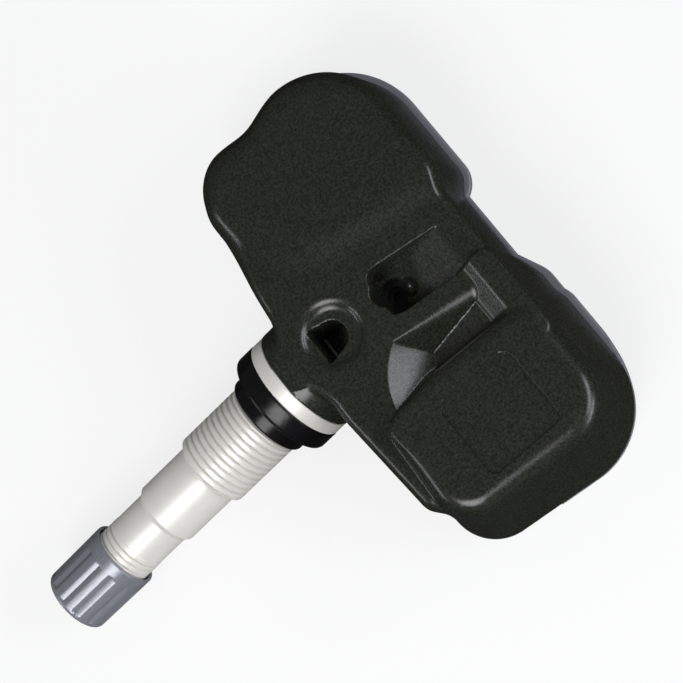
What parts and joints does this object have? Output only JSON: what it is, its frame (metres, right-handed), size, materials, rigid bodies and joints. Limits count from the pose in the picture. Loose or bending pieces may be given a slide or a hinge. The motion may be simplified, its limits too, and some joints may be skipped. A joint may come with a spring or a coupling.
{
  "type": "tyre pressure sensor",
  "caption": "Clamp-in tyre pressure sensor: a two-lobed plastic case with ports on its face, on a threaded metal valve stem with a rubber grommet and a cap.",
  "frame": {"origin": "on the stem's axis, in the plane where the rim bears on the grommet's flange", "axes": "+Z along the stem, out through the wheel; X along the two lobes of the case; +Y the way the case's face with the ports looks, which leans 10 degrees from it"},
  "size_m": [0.0629, 0.0222, 0.0717],
  "materials": {
    "case_plastic": "glass-filled moulding, fine speckle",
    "cover_plastic": "moulded",
    "stem_metal": "turned and plated",
    "grommet_rubber": "smooth moulded",
    "cap_plastic": "satin, with flutes",
    "seal_rubber": "moulded",
    "core_brass": "turned",
    "washer_plastic": "plain",
    "spring_steel": "drawn wire",
    "board": "coated board",
    "cell_steel": "pressed",
    "strap_steel": "tinned",
    "chip_plastic": "moulded",
    "ferrite": "sintered",
    "copper": "enamelled wire",
    "ceramic": "fired"
  },
  "bodies": {
    "case": {"housing": "case_plastic", "base_cover": "cover_plastic", "valve_stem": "stem_metal", "grommet": "grommet_rubber", "core_plug": "core_brass", "core_barrel": "core_brass", "core_washer": "washer_plastic", "core_spring": "spring_steel", "pcb": "board", "battery_cell": "cell_steel", "battery_tab_top": "strap_steel", "battery_tab_bottom": "strap_steel", "sensor_chip": "chip_plastic", "port_seal": "seal_rubber", "crystal": "cell_steel", "lf_coil_core": "ferrite", "lf_coil_winding": "copper", "capacitors": "ceramic", "antenna": "strap_steel"},
    "seal": {"cap_seal": "seal_rubber"},
    "cap": {"valve_cap": "cap_plastic"},
    "pin": {"core_pin": "core_brass", "core_cup": "core_brass", "core_cup_gasket": "seal_rubber"}
  },
  "joints": [
    {"name": "cap_lift", "type": "slide", "parent": "case", "child": "seal", "axis": [0, 0, 1], "range_m": [0, 0.00595]},
    {"name": "cap_turn", "type": "hinge", "parent": "seal", "child": "cap", "pos_m": [0, 0, 0.03], "axis": [0, 0, 1], "range_deg": [0, 2699]},
    {"name": "pin_push", "type": "slide", "parent": "case", "child": "pin", "axis": [0, 0, -1], "range_m": [0, 0.001], "stiffness_N_per_m": 3000, "deforming": ["core_spring"]}
  ],
  "couplings": [
    {"joint": "cap_turn", "follows": "cap_lift", "rad_per_m": 7913.3}
  ]
}
